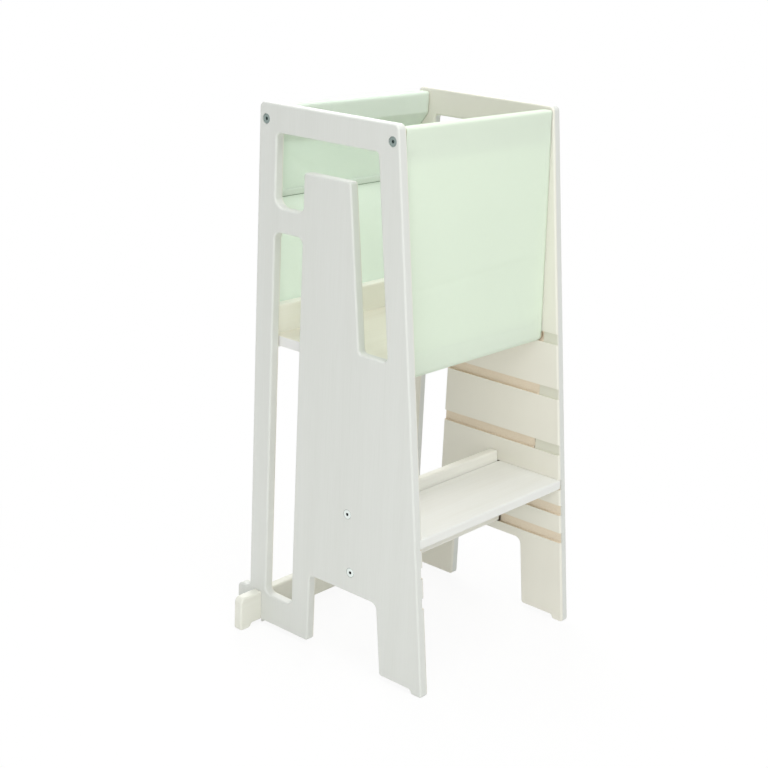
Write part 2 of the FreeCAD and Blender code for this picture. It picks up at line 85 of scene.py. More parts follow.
def add_node(tree: NodeTree, kind: str, inputs: dict | None = None, **settings: object) -> Node:
    """Adds one node to a tree, with its settings, values and links.

    Args:
        tree: the tree to add to.
        kind: the node's type name, without the ShaderNode that it starts with.
        inputs: a value, an output socket, or a node whose first output is taken, for each input by
            its name or number.
        settings: the node's own attributes.

    Returns:
        The new node.
    """
    node = tree.nodes.new("ShaderNode" + kind)
    for name, value in settings.items():
        setattr(node, name, value)
    for key, value in (inputs or {}).items():
        if isinstance(value, Node):
            value = value.outputs[0]
        if isinstance(value, NodeSocket):
            tree.links.new(value, node.inputs[key])
        else:
            node.inputs[key].default_value = value
    return node


def find_place(tree: NodeTree) -> tuple[NodeSocket, NodeSocket, NodeSocket]:
    """Returns the distance to either side of the tower's middle, Y and Z on a piece, in metres."""
    place = add_node(tree, "TexCoord").outputs["Object"]
    apart = add_node(tree, "SeparateXYZ", {"Vector": place})
    side = add_node(tree, "Math", {0: apart.outputs["X"]}, operation="ABSOLUTE")
    return side.outputs[0], apart.outputs["Y"], apart.outputs["Z"]


@dataclass(frozen=True)
class Finish:
    """A surface with its own node material."""

    name: str

    def shade(self, tree: NodeTree) -> Node:
        """Draws the finish in a material's tree, and returns its last shader."""
        raise NotImplementedError

    def build(self) -> Material:
        """Makes the material."""
        material = bpy.data.materials.new(self.name)
        material.use_nodes = True
        tree = material.node_tree
        tree.nodes.clear()
        add_node(tree, "OutputMaterial", {"Surface": self.shade(tree)})
        return material


class Grain(Enum):
    """The way a board's grain runs, as how little its pattern changes along each axis."""

    UPRIGHT = (1.0, 1.0, 0.03)
    ACROSS = (0.03, 1.0, 1.0)


@dataclass(frozen=True)
class WoodFibre:
    """The fibre pattern of sanded birch veneer, which both the paint and the bare wood show."""

    grain: Grain
    fibre_mm: float = 2.6
    cloud_mm: float = 30.0

    def pattern(self, tree: NodeTree) -> tuple[NodeSocket, NodeSocket]:
        """Draws the fibres and the slow change of tone across the veneer.

        Args:
            tree: the material's tree.

        Returns:
            The fibre and the cloud values, each about 0 to 1.
        """
        place = add_node(tree, "TexCoord").outputs["Object"]
        drawn_out = add_node(tree, "Mapping", {"Vector": place, "Scale": self.grain.value})
        fibre = add_node(tree, "TexNoise", {
            "Vector": drawn_out, "Scale": 1 / (self.fibre_mm * MM),
            "Detail": 5.0, "Roughness": 0.62, "Distortion": 0.35})
        cloud = add_node(tree, "TexNoise", {
            "Vector": drawn_out, "Scale": 1 / (self.cloud_mm * MM),
            "Detail": 2.0, "Roughness": 0.5})
        return fibre.outputs["Fac"], cloud.outputs["Fac"]


@dataclass(frozen=True)
class ThinPaint(Finish):
    """Water-based satin paint, rolled on in one thin coat, so the grain still reads through it."""

    full: str
    thin: str
    fibre: WoodFibre = WoodFibre(Grain.ACROSS)
    roughness: Point = (0.44, 0.58)
    grain_depth_mm: float = 0.05

    def colour(self, tree: NodeTree, fibre: NodeSocket, cloud: NodeSocket) -> NodeSocket:
        """Mixes the full and the thin paint by the fibres under it.

        Args:
            tree: the material's tree.
            fibre: the fibre value.
            cloud: the slow tone value.

        Returns:
            The colour socket.
        """
        streak = add_node(tree, "MapRange", {
            "Value": fibre, "From Min": 0.4, "From Max": 0.75, "To Max": 0.5})
        tone = add_node(tree, "MapRange", {
            "Value": cloud, "From Min": 0.3, "From Max": 0.7, "To Max": 0.45})
        share = add_node(tree, "Math", {0: streak, 1: tone}, operation="ADD", use_clamp=True)
        mixed = add_node(tree, "Mix", {
            0: share, 6: linear(self.full), 7: linear(self.thin)}, data_type="RGBA")
        return mixed.outputs[2]

    def surface(self, tree: NodeTree, colour: NodeSocket, fibre: NodeSocket,
                roughness: NodeSocket | None = None) -> Node:
        """Draws a satin surface with the grain standing in it.

        Args:
            tree: the material's tree.
            colour: the colour socket.
            fibre: the fibre value, which gives height and gloss.
            roughness: a roughness socket, where it isn't the paint's own.

        Returns:
            The shader.
        """
        low, high = self.roughness
        satin = add_node(tree, "MapRange", {
            "Value": fibre, "From Min": 0.3, "From Max": 0.7, "To Min": low, "To Max": high})
        relief = add_node(tree, "Bump", {
            "Height": fibre, "Strength": 0.5, "Distance": self.grain_depth_mm * MM})
        return add_node(tree, "BsdfPrincipled", {
            "Base Color": colour, "Roughness": roughness or satin.outputs["Result"],
            "Normal": relief, "IOR": 1.5})

    def shade(self, tree: NodeTree) -> Node:
        """Draws the paint over its board's fibres."""
        fibre, cloud = self.fibre.pattern(tree)
        return self.surface(tree, self.colour(tree, fibre, cloud), fibre)


@dataclass(frozen=True)
class WashedBoard(ThinPaint):
    """A wash on the board's faces, with the panels' white paint on the edges down its two sides."""

    edge_paint: str = "#E6E6E4"
    edge_x: float = 0.0
    edge_depth: float = 1.0

    def colour(self, tree: NodeTree, fibre: NodeSocket, cloud: NodeSocket) -> NodeSocket:
        """Mixes the wash as usual, and paints the side edges over it."""
        wash = super().colour(tree, fibre, cloud)
        side, _, _ = find_place(tree)
        on_edge = add_node(tree, "Math", {
            0: side, 1: (self.edge_x - self.edge_depth) * MM}, operation="GREATER_THAN")
        painted = add_node(tree, "Mix", {
            0: on_edge, 6: wash, 7: linear(self.edge_paint)}, data_type="RGBA")
        return painted.outputs[2]


@dataclass(frozen=True)
class Groove:
    """A groove milled into the panels' inner faces, in millimetres.

    Painted shadow darkens its bare wood at its stop. Ahead of its stop, a platform groove has only
    a shallow lead-in, where some paint is left.
    """

    level: float
    end: float
    # Where it stops, and how dark the painted shadow there is.
    stop_at: float
    stop_shade: float
    lead_in: float = 1.0


@dataclass(frozen=True)
class GroovedPaint(ThinPaint):
    """The panels' paint, which stops at the grooves: they were milled later and show bare birch."""

    # The inner faces are tinted warmer with this colour, as painted warm bounce light.
    inner: str = "#E7E4D7"
    bare: str = "#ECE3D2"
    bare_dark: str = "#D9CAB2"
    # The colour of the painted shadow at the grooves' stops.
    stop_shadow: str = "#4A3826"
    lead_in: str = "#D5D5C6"
    # How far the painted shadow at a stop reaches along the groove.
    stop_shade_reach: float = 7.0
    stop_reach: float = 0.2
    painted_lip: float = 2.5
    inner_bounce_share: float = 0.75
    inner_bounce_reach: Point = (2.0, 5.0)
    milled_fibre_mm: float = 1.6
    grooves: tuple[Groove, ...] = ()
    half_height: float = 9.36
    floor_x: float = 191.06
    face_x: float = 185.04
    front_at_top: float = -107.62
    front_lean: float = 0.11641
    height: float = 900.0

    def find_grooves(self, tree: NodeTree) -> tuple[NodeSocket, NodeSocket]:
        """Finds the bare wood inside the grooves by its place.

        Args:
            tree: the material's tree.

        Returns:
            A socket that is 1 in the grooves and a half in the lead-ins, and one that rises to 1
            at their stops, where shadow is painted.
        """
        side, y, z = find_place(tree)
        middle, reach = (self.face_x + self.floor_x) / 2, (self.floor_x - self.face_x) / 2
        sunk = add_node(tree, "Math", {0: side, 1: middle * MM, 2: reach * MM}, operation="COMPARE")
        lip_at_floor = self.front_at_top - self.height * self.front_lean + self.painted_lip
        lip = add_node(tree, "Math", {
            0: z, 1: self.front_lean, 2: lip_at_floor * MM}, operation="MULTIPLY_ADD")
        behind = add_node(tree, "Math", {0: y, 1: lip}, operation="GREATER_THAN")
        bare: NodeSocket | float = 0.0
        stop_shadow: NodeSocket | float = 0.0
        for groove in self.grooves:
            level = add_node(tree, "Math", {
                0: z, 1: groove.level * MM, 2: self.half_height * MM}, operation="COMPARE")
            before = add_node(tree, "Math", {0: y, 1: groove.end * MM}, operation="LESS_THAN")
            inside = add_node(tree, "MapRange", {
                "Value": y, "From Min": (groove.stop_at - self.stop_reach) * MM,
                "From Max": groove.stop_at * MM, "To Min": groove.lead_in})
            for limit in (level, before, sunk, behind):
                inside = add_node(tree, "Math", {0: inside, 1: limit}, operation="MULTIPLY")
            off = add_node(tree, "Math", {0: y, 1: groove.stop_at * MM}, operation="SUBTRACT")
            away = add_node(tree, "Math", {0: off}, operation="ABSOLUTE")
            # Painted shadow, darkest at the stop and gone past its reach.
            shade_fall = add_node(tree, "MapRange", {
                "Value": away, "From Max": self.stop_shade_reach * MM,
                "To Min": groove.stop_shade, "To Max": 0.0})
            bare = add_node(tree, "Math", {0: bare, 1: inside}, operation="ADD").outputs[0]
            stop_shadow = add_node(tree, "Math", {
                0: shade_fall, 1: inside, 2: stop_shadow},
                operation="MULTIPLY_ADD").outputs[0]
        return bare, stop_shadow

    def inner_bounce_mask(self, tree: NodeTree) -> NodeSocket:
        """Returns the share of the warmer tint on the panels' inner faces, which is painted warm
        bounce light.
        """
        side, _, _ = find_place(tree)
        near, far = self.inner_bounce_reach
        share = add_node(tree, "MapRange", {
            "Value": side, "From Min": (self.face_x + near) * MM,
            "From Max": (self.face_x + far) * MM, "To Min": self.inner_bounce_share, "To Max": 0.0})
        return share.outputs["Result"]

    def bare_wood(self, tree: NodeTree, stop_shade: NodeSocket) -> NodeSocket:
        """Returns the milled plywood's colour, with painted shadow in patches at the grooves'
        stops.
        """
        milled, _ = WoodFibre(Grain.ACROSS, self.milled_fibre_mm).pattern(tree)
        wood = add_node(tree, "Mix", {
            0: milled, 6: linear(self.bare), 7: linear(self.bare_dark)}, data_type="RGBA")
        patchy = add_node(tree, "Math", {0: milled, 1: 0.6, 2: stop_shade}, operation="MULTIPLY_ADD")
        shadowed = add_node(tree, "MapRange", {
            "Value": patchy, "From Min": 0.65, "From Max": 1.05, "To Max": 0.9})
        bare = add_node(tree, "Mix", {
            0: shadowed, 6: wood.outputs[2], 7: linear(self.stop_shadow)},
            data_type="RGBA")
        return bare.outputs[2]

    def shade(self, tree: NodeTree) -> Node:
        """Draws the coat, painted warm bounce light inside, the lead-ins and the grooves' bare
        wood.
        """
        fibre, cloud = self.fibre.pattern(tree)
        coat_with_bounce = add_node(tree, "Mix", {
            0: self.inner_bounce_mask(tree), 6: self.colour(tree, fibre, cloud), 7: linear(self.inner)},
            data_type="RGBA")
        mask, stop_shade = self.find_grooves(tree)
        cut = add_node(tree, "MapRange", {"Value": mask, "From Max": 0.5})
        deep = add_node(tree, "MapRange", {"Value": mask, "From Min": 0.5})
        thinned = add_node(tree, "Mix", {
            0: cut, 6: coat_with_bounce.outputs[2], 7: linear(self.lead_in)},
            data_type="RGBA")
        colour = add_node(tree, "Mix", {
            0: deep, 6: thinned.outputs[2], 7: self.bare_wood(tree, stop_shade)},
            data_type="RGBA")
        rough = add_node(tree, "MapRange", {"Value": mask, "To Min": 0.5, "To Max": 0.82})
        return self.surface(tree, colour.outputs[2], fibre, rough.outputs["Result"])


@dataclass(frozen=True)
class BareBirch(Finish):
    """Sanded birch or beech with no finish: matt, with fine darker fibres."""

    light: str
    dark: str
    fibre: WoodFibre

    def shade(self, tree: NodeTree) -> Node:
        """Draws the wood's fibres as darker streaks that stand a little proud."""
        fibre, _ = self.fibre.pattern(tree)
        streak = add_node(tree, "MapRange", {"Value": fibre, "From Min": 0.4, "From Max": 0.7})
        colour = add_node(tree, "Mix", {
            0: streak, 6: linear(self.light), 7: linear(self.dark)},
            data_type="RGBA")
        relief = add_node(tree, "Bump", {"Height": fibre, "Strength": 0.4, "Distance": 0.15 * MM})
        return add_node(tree, "BsdfPrincipled", {
            "Base Color": colour.outputs[2], "Roughness": 0.72, "Normal": relief})


@dataclass(frozen=True)
class CottonCanvas(Finish):
    """Plain-woven cotton canvas, piece-dyed: matt, with a soft sheen and thick and thin threads."""

    light: str
    dark: str
    # Real threads lie about 0.5 mm apart, too fine to show here, so they are drawn coarser.
    thread_mm: float = 0.9
    relief_mm: float = 0.12
    light_through: float = 0.2
    uv_map: str = "weave"

    def shade(self, tree: NodeTree) -> Node:
        """Draws the weave, which follows the cloth through its own UV map in metres."""
        place = add_node(tree, "UVMap", uv_map=self.uv_map).outputs["UV"]
        ribs = [
            add_node(tree, "TexWave", {
                "Vector": place, "Scale": WAVE_LENGTH / (self.thread_mm * MM)}, bands_direction=way)
            for way in ("X", "Y")]
        over = add_node(tree, "TexChecker", {
            "Vector": place, "Scale": 1 / (self.thread_mm * MM),
            "Color1": (0, 0, 0, 1), "Color2": (1, 1, 1, 1)})
        weave = add_node(tree, "Mix", {
            0: over.outputs["Fac"], 2: ribs[0].outputs["Fac"], 3: ribs[1].outputs["Fac"]})
        slubs = []
        for stretch in ((1.0, 0.04, 1.0), (0.04, 1.0, 1.0)):
            drawn_out = add_node(tree, "Mapping", {"Vector": place, "Scale": stretch})
            slubs.append(add_node(tree, "TexNoise", {
                "Vector": drawn_out, "Scale": 1 / (self.thread_mm * MM),
                "Detail": 2.0}))
        uneven = add_node(tree, "Math", {
            0: slubs[0].outputs["Fac"], 1: slubs[1].outputs["Fac"]}, operation="ADD")
        shade = add_node(tree, "Math", {0: uneven, 1: 0.45, 2: weave}, operation="MULTIPLY_ADD")
        share = add_node(tree, "MapRange", {"Value": shade, "From Min": 0.2, "From Max": 1.4})
        colour = add_node(tree, "Mix", {
            0: share, 6: linear(self.dark), 7: linear(self.light)},
            data_type="RGBA")
        relief = add_node(tree, "Bump", {
            "Height": shade, "Strength": 0.5, "Distance": self.relief_mm * MM})
        face = add_node(tree, "BsdfPrincipled", {
            "Base Color": colour.outputs[2], "Roughness": 0.9, "Sheen Weight": 0.15,
            "Sheen Roughness": 0.5, "Specular IOR Level": 0.25, "Normal": relief})
        through = add_node(tree, "BsdfTranslucent", {"Color": colour.outputs[2]})
        return add_node(tree, "MixShader", {0: self.light_through, 1: face, 2: through})


@dataclass(frozen=True)
class SewingThread(Finish):
    """Polyester sewing thread: a slight gloss, and a twist of two tones."""

    light: str
    dark: str
    twist_mm: float = 0.7

    def shade(self, tree: NodeTree) -> Node:
        """Draws the twist as slanting bands."""
        place = add_node(tree, "TexCoord").outputs["Object"]
        twist = add_node(tree, "TexWave", {
            "Vector": place, "Scale": WAVE_LENGTH / (self.twist_mm * MM)},
            bands_direction="DIAGONAL")
        colour = add_node(tree, "Mix", {
            0: twist.outputs["Fac"], 6: linear(self.dark), 7: linear(self.light)}, data_type="RGBA")
        return add_node(tree, "BsdfPrincipled", {"Base Color": colour.outputs[2], "Roughness": 0.5})


@dataclass(frozen=True)
class ZincPlate(Finish):
    """Zinc-plated steel: a bluish satin metal with faint blotches left by the bath."""

    light: str
    dark: str
    roughness: Point = (0.28, 0.42)
    blotch_mm: float = 2.5

    def shade(self, tree: NodeTree) -> Node:
        """Draws the blotches in the plating's colour and gloss."""
        place = add_node(tree, "TexCoord").outputs["Object"]
        blotch = add_node(tree, "TexNoise", {
            "Vector": place, "Scale": 1 / (self.blotch_mm * MM), "Detail": 3.0})
        colour = add_node(tree, "Mix", {
            0: blotch.outputs["Fac"], 6: linear(self.light), 7: linear(self.dark)},
            data_type="RGBA")
        low, high = self.roughness
        rough = add_node(tree, "MapRange", {
            "Value": blotch.outputs["Fac"], "From Min": 0.3, "From Max": 0.7,
            "To Min": low, "To Max": high})
        return add_node(tree, "BsdfPrincipled", {
            "Base Color": self.tint(tree, colour.outputs[2]), "Metallic": 1.0,
            "Roughness": rough})

    def tint(self, tree: NodeTree, plate: NodeSocket) -> NodeSocket:
        """Returns the plating's colour as it is, with no painted shade or highlight on it."""
        return plate


@dataclass(frozen=True)
class BoltHead(ZincPlate):
    """A socket head's plate, with painted shade in the socket and a tone painted on the rounded
    rim:
    painted shade on the riser heads, a painted highlight on the rail heads.
    """

    face_x: float = 200.0
    # A painted tone for the rim, and painted shade for the socket, with how deep each lies.
    rim: str = "#C8CECE"
    socket_shade: str = "#1E2424"
    rim_depth: float = 0.12
    socket_shade_depth: float = 0.85

    def tint(self, tree: NodeTree, plate: NodeSocket) -> NodeSocket:
        """Paints the rim's tone and the socket's shade by how deep they lie behind the head's face.
        """
        side, _, _ = find_place(tree)
        for depth, colour in ((self.rim_depth, self.rim), (self.socket_shade_depth, self.socket_shade)):
            below = add_node(tree, "Math", {
                0: side, 1: (self.face_x - depth) * MM}, operation="LESS_THAN")
            plate = add_node(tree, "Mix", {
                0: below, 6: plate, 7: linear(colour)}, data_type="RGBA").outputs[2]
        return plate


# Off-white paint on the upright panels: cool, with the veneer's grain running up through it.
PANEL_PAINT = GroovedPaint(
    name="off_white_paint_on_birch_plywood", full="#DADCD7", thin="#D4D6D0",
    fibre=WoodFibre(Grain.UPRIGHT),
    grooves=(
        Groove(509.8, 82.0, -123.4, 0.2, 0.5), Groove(414.1, 82.0, -123.4, 0.4, 0.5),
        Groove(315.0, 82.0, -123.4, 0.6, 0.5), Groove(252.7, -43.6, -44.1, 1.0),
        Groove(206.3, -49.0, -49.5, 1.0), Groove(156.0, -54.8, -55.3, 1.0)))
# The same paint on the boards across, where the grain runs from side to side.
BOARD_PAINT = ThinPaint(name="off_white_paint_on_cross_boards", full="#E9EAE6", thin="#E4E4DE")
# The riser's white is brighter and warmer than the boards', and the base board's a little more than
# the panels', as painted warm bounce light where they stand in shade.
RISER_PAINT = ThinPaint(name="white_paint_on_riser_with_painted_bounce", full="#F2F2EA", thin="#ECEBE2")
BASE_PAINT = ThinPaint(name="white_paint_on_base_board_with_painted_bounce", full="#E4E4DA", thin="#DDDDD1")
# The platform's clear oil over a white wash: creamier than the panels.
PLATFORM_WASH = WashedBoard(
    name="cream_wash_on_birch_plywood", full="#ECE9DC", thin="#E6E2D3",
    edge_x=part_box("platform_upstand")[1].x / MM)
# The upstand's upright face is washed paler than the platform, a painted light that makes up for
# the less light it gets.
UPSTAND_WASH = ThinPaint(name="birch_upstand_wash_with_painted_light", full="#FEFCF4", thin="#F9F7EC")
RAIL_WOOD = BareBirch(
    "bare_birch_batten", light="#D9CBB0", dark="#C4B08D", fibre=WoodFibre(Grain.ACROSS, 1.8))
MINT_CANVAS = CottonCanvas("mint_cotton_canvas", light="#F1FCEB", dark="#E6F1E0")
# The rear guard hangs against the light, which its one layer lets through. Its canvas is also a
# paler copy of the front guard's, as painted light.
LIT_CANVAS = CottonCanvas(
    "mint_cotton_canvas_against_the_light", light="#F8FFF8", dark="#EEF8EE", light_through=0.40)
MINT_THREAD = SewingThread("mint_sewing_thread", light="#ECF6E9", dark="#D2E0CD")
# Thick grey-green thread along the loose end's hem, which draws the thin dark line of painted
# shadow under it.
SHADOW_LINE_THREAD = SewingThread(
    "grey_green_thread_for_painted_hem_shadow", light="#7F8F7C", dark="#5E6B5B", twist_mm=1.2)
BRIGHT_ZINC = ZincPlate("bright_zinc_plate", light="#D5D9DA", dark="#B9C0C2")
# The riser heads' dark rim is painted shadow in their recess.
RISER_HEAD = BoltHead(
    "bright_bolt_head", light="#F2F8F4", dark="#DDE6E1", face_x=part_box("riser_bolts")[1].x / MM,
    rim="#6E7876")
# The rail heads' pale rim is a painted highlight, and their socket is painted dark as shade.
RAIL_HEAD = BoltHead(
    "dull_bolt_head", light="#9FADA9", dark="#7F8D89", roughness=(0.36, 0.5),
    face_x=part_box("rail_bolts")[1].x / MM, rim="#DCE6E3", socket_shade="#465452")


@dataclass
class CadDresser:
    """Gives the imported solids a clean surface: joined facets, softened lips and even shading."""

    join_mm: float = 0.01
    lip_mm: float = 0.35
    corner_deg: float = 40.0
    flat_deg: float = 1.0

    def dress(self, finish: Finish, *nodes: str) -> None:
        """Builds a finish and puts it on the CAD nodes that have it.

        Args:
            finish: the finish.
            nodes: the nodes' names.
        """
        material = finish.build()
        for node in nodes:
            self.cover(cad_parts[node], material)
            LOG.info("dressed %s in %s", node, finish.name)

    def cover(self, thing: Object, material: Material) -> None:
        """Gives one solid its material and the modifiers that clean its surface."""
        thing.data.materials.clear()
        thing.data.materials.append(material)
        thing.data.polygons.foreach_set("material_index", [0] * len(thing.data.polygons))
        thing.data.polygons.foreach_set("use_smooth", [True] * len(thing.data.polygons))
        weld = thing.modifiers.new("join_facets", "WELD")
        weld.merge_threshold = self.join_mm * MM
        flat = thing.modifiers.new("merge_flat_faces", "DECIMATE")
        flat.decimate_type = "DISSOLVE"
        flat.angle_limit = math.radians(self.flat_deg)
        ease = thing.modifiers.new("ease_lips", "BEVEL")
        ease.limit_method = "ANGLE"
        ease.angle_limit = math.radians(self.corner_deg)
        ease.width = self.lip_mm * MM
        ease.segments = 2
        ease.use_clamp_overlap = True
        even = thing.modifiers.new("even_shading", "WEIGHTED_NORMAL")
        even.keep_sharp = True


@dataclass
class Joinery:
    """The wooden parts: two side panels, boards across them, rails and rods."""

    dresser: CadDresser = field(default_factory=CadDresser)

    def build(self) -> None:
        """Paints the panels and boards, washes the platform, and leaves the rails and rods bare."""
        self.dresser.dress(PANEL_PAINT, "left_side_panel", "right_side_panel")
        self.dresser.dress(BOARD_PAINT, "step_board")
        self.dresser.dress(RISER_PAINT, "riser_board")
        self.dresser.dress(BASE_PAINT, "rear_base_board")
        self.dresser.dress(PLATFORM_WASH, "platform_board")
        self.dresser.dress(UPSTAND_WASH, "platform_upstand")
        self.dresser.dress(
            RAIL_WOOD, "front_top_rail", "rear_top_rail", "front_hem_rod", "rear_hem_rod")


@dataclass
class Fixings:
    """The metal parts: socket bolts, their inserts, and the upstand's screws."""

    dresser: CadDresser = field(default_factory=lambda: CadDresser(lip_mm=0.15))

    def build(self) -> None:
        """Dresses every metal part."""
        self.dresser.dress(RAIL_HEAD, "rail_bolts")
        self.dresser.dress(RISER_HEAD, "riser_bolts")
        self.dresser.dress(BRIGHT_ZINC, "rail_inserts", "riser_inserts", "upstand_screws")


def tangent_angle(point: Point, centre: Point, radius: float, turn: int) -> float:
    """Finds where a straight line from a point touches a circle.

    Args:
        point: the point outside the circle.
        centre: the circle's centre.
        radius: the circle's radius.
        turn: 1 for the touch anticlockwise of the point, -1 for the other.

    Returns:
        The touching point's angle round the centre, in radians.
    """
    across, up = point[0] - centre[0], point[1] - centre[1]
    return math.atan2(up, across) + turn * math.acos(radius / math.hypot(across, up))


def on_circle(centre: Point, radius: float, angle: float) -> Point:
    """Returns the point of a circle at an angle in radians."""
    return centre[0] + radius * math.cos(angle), centre[1] + radius * math.sin(angle)


class ClothLine:
    """The cut line of a cloth, drawn in the YZ plane by extruding and spinning one vertex."""

    def __init__(self, x: float, start: Point, grid: float) -> None:
        """Starts the line.

        Args:
            x: the line's place across the tower.
            start: its first point, as (y, z).
            grid: the length of its straight pieces.
        """
        self.grid = grid
        self.mesh: BMesh = bmesh.new()
        self.along = self.mesh.verts.layers.float.new("along")
        self.tip: BMVert = bmesh.ops.create_vert(self.mesh, co=(x, *start))["vert"][0]
        self.root = self.tip

    def run_to(self, point: Point) -> None:
        """Draws straight on to a point, as (y, z)."""
        travel = Vector((self.tip.co.x, *point)) - self.tip.co
        count = max(1, round(travel.length / self.grid))
        for _ in range(count):
            self.tip = bmesh.ops.extrude_vert_indiv(self.mesh, verts=[self.tip])["verts"][0]
            bmesh.ops.translate(self.mesh, verts=[self.tip], vec=travel / count)

    def turn_about(self, centre: Point, angle: float, steps: int) -> None:
        """Draws an arc round a centre.

        Args:
            centre: the arc's centre, as (y, z).
            angle: the turn in radians, anticlockwise seen from +X.
            steps: how many pieces it has.
        """
        made = bmesh.ops.spin(
            self.mesh, geom=[self.tip], cent=(self.tip.co.x, *centre), axis=(1, 0, 0),
            angle=angle, steps=steps, use_merge=False, use_duplicate=False)
        self.tip = next(part for part in made["geom_last"] if isinstance(part, BMVert))

    def measure(self) -> float:
        """Stores each vertex's distance along the line, and returns the line's length."""
        here, came_by, length = self.root, None, 0.0
        while True:
            here[self.along] = length
            onward = [edge for edge in here.link_edges if edge is not came_by]
            if not onward:
                return length
            came_by = onward[0]
            length += came_by.calc_length()
            here = came_by.other_vert(here)

    def sweep(self, width: float, columns: int) -> None:
        """Sweeps the line that far along +X into a grid of faces with that many columns."""
        made = bmesh.ops.extrude_edge_only(self.mesh, edges=self.mesh.edges[:])
        moved = [part for part in made["geom"] if isinstance(part, BMVert)]
        bmesh.ops.translate(self.mesh, verts=moved, vec=(width, 0, 0))
        rungs = [
            edge for edge in self.mesh.edges
            if abs(edge.verts[0].co.x - edge.verts[1].co.x) > width / 2]
        bmesh.ops.subdivide_edges(self.mesh, edges=rungs, cuts=columns - 1, use_grid_fill=True)

    def lay_uv(self, name: str) -> None:
        """Lays a UV map of that name in metres, across the cloth and along its line."""
        layer = self.mesh.loops.layers.uv.new(name)
        for face in self.mesh.faces:
            for loop in face.loops:
                loop[layer].uv = (loop.vert.co.x * MM, loop.vert[self.along] * MM)


@dataclass(frozen=True)
class Fold:
    """A soft ridge or dent that runs over a sheet from one (x, z) to another, in millimetres."""

    start: Point
    end: Point
    width: float
    height: float

    def lift(self, x: float, z: float) -> float:
        """Returns how far the fold lifts the sheet at a place, in millimetres outwards."""
        way = Vector(self.end) - Vector(self.start)
        place = Vector((x, z)) - Vector(self.start)
        share = min(1.0, max(0.0, place.dot(way) / way.length_squared))
        off = (place - way * share).length / self.width
        return self.height * math.exp(-off * off)


@dataclass(frozen=True)
class Wave:
    """A random unevenness of cloth, in millimetres: how high it swells, and over what distances."""

    height: float
    across: float
    up: float
    seed: float

    def at(self, x: float, z: float) -> float:
        """Returns how far it lifts the cloth at a place on the sheet."""
        return self.height * noise.noise(Vector((x / self.across, z / self.up, self.seed)))


def smooth_step(low: float, high: float, value: float) -> float:
    """Returns 0 below low, 1 above high, and a smooth rise between them."""
    share = min(1.0, max(0.0, (value - low) / (high - low)))
    return share * share * (3 - 2 * share)


def to_piece(mesh: BMesh, name: str, finish: Material) -> Object:
    """Turns a mesh drawn in millimetres into a smooth cloth piece that rides on the tower.

    Args:
        mesh: the bmesh, which is freed.
        name: the piece's name.
        finish: its material.

    Returns:
        The piece's object, at the origin.
    """
    bmesh.ops.scale(mesh, verts=mesh.verts, vec=(MM, MM, MM))
    data = bpy.data.meshes.new(name)
    mesh.to_mesh(data)
    mesh.free()
    data.polygons.foreach_set("use_smooth", [True] * len(data.polygons))
    data.materials.append(finish)
    piece = add_object(name, data)
    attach(piece, "tower")
    return piece


@dataclass
class Seam:
    """A row of lockstitches, each a small capsule of thread half sunk in the cloth."""

    length: float = 2.6
    pitch: float = 3.6
    thread: float = 0.34

    def sew(self, mesh: BMesh, start: Vector, end: Vector,
            place: Callable[[Vector], Vector]) -> None:
        """Sews from one point to another.

        Args:
            mesh: the mesh that takes the stitches.
            start: the first end, on the flat cloth.
            end: the other end.
            place: turns a point of the flat cloth into one on its surface.
        """
        travel = end - start
        count = max(1, int(travel.length / self.pitch))
        way = travel.normalized()
        for index in range(count):
            middle = start + travel * ((index + 0.5) / count)
            low, high = place(middle - way * 0.5), place(middle + way * 0.5)
            turn = (high - low).to_track_quat("X", "Z").to_matrix().to_4x4()
            size = Matrix.Diagonal((self.length / 2, self.thread, self.thread, 1))
            matrix = Matrix.Translation(place(middle)) @ turn @ size
            bmesh.ops.create_icosphere(mesh, subdivisions=1, radius=1.0, matrix=matrix)


# How the needle's pull puckers a seam, and how the loose end hangs in broad and fine swells.
PUCKER = Wave(0.16, 5, 40, 9.1)
BROAD_HANG = Wave(1.1, 85, 160, 5.3)
FINE_HANG = Wave(0.3, 30, 70, 1.9)
# The close, thick stitches along the loose end's edge, which draw the painted shadow under its hem.
SHADOW_LINE_STITCHES = Seam(length=4.4, pitch=3.0, thread=0.7)


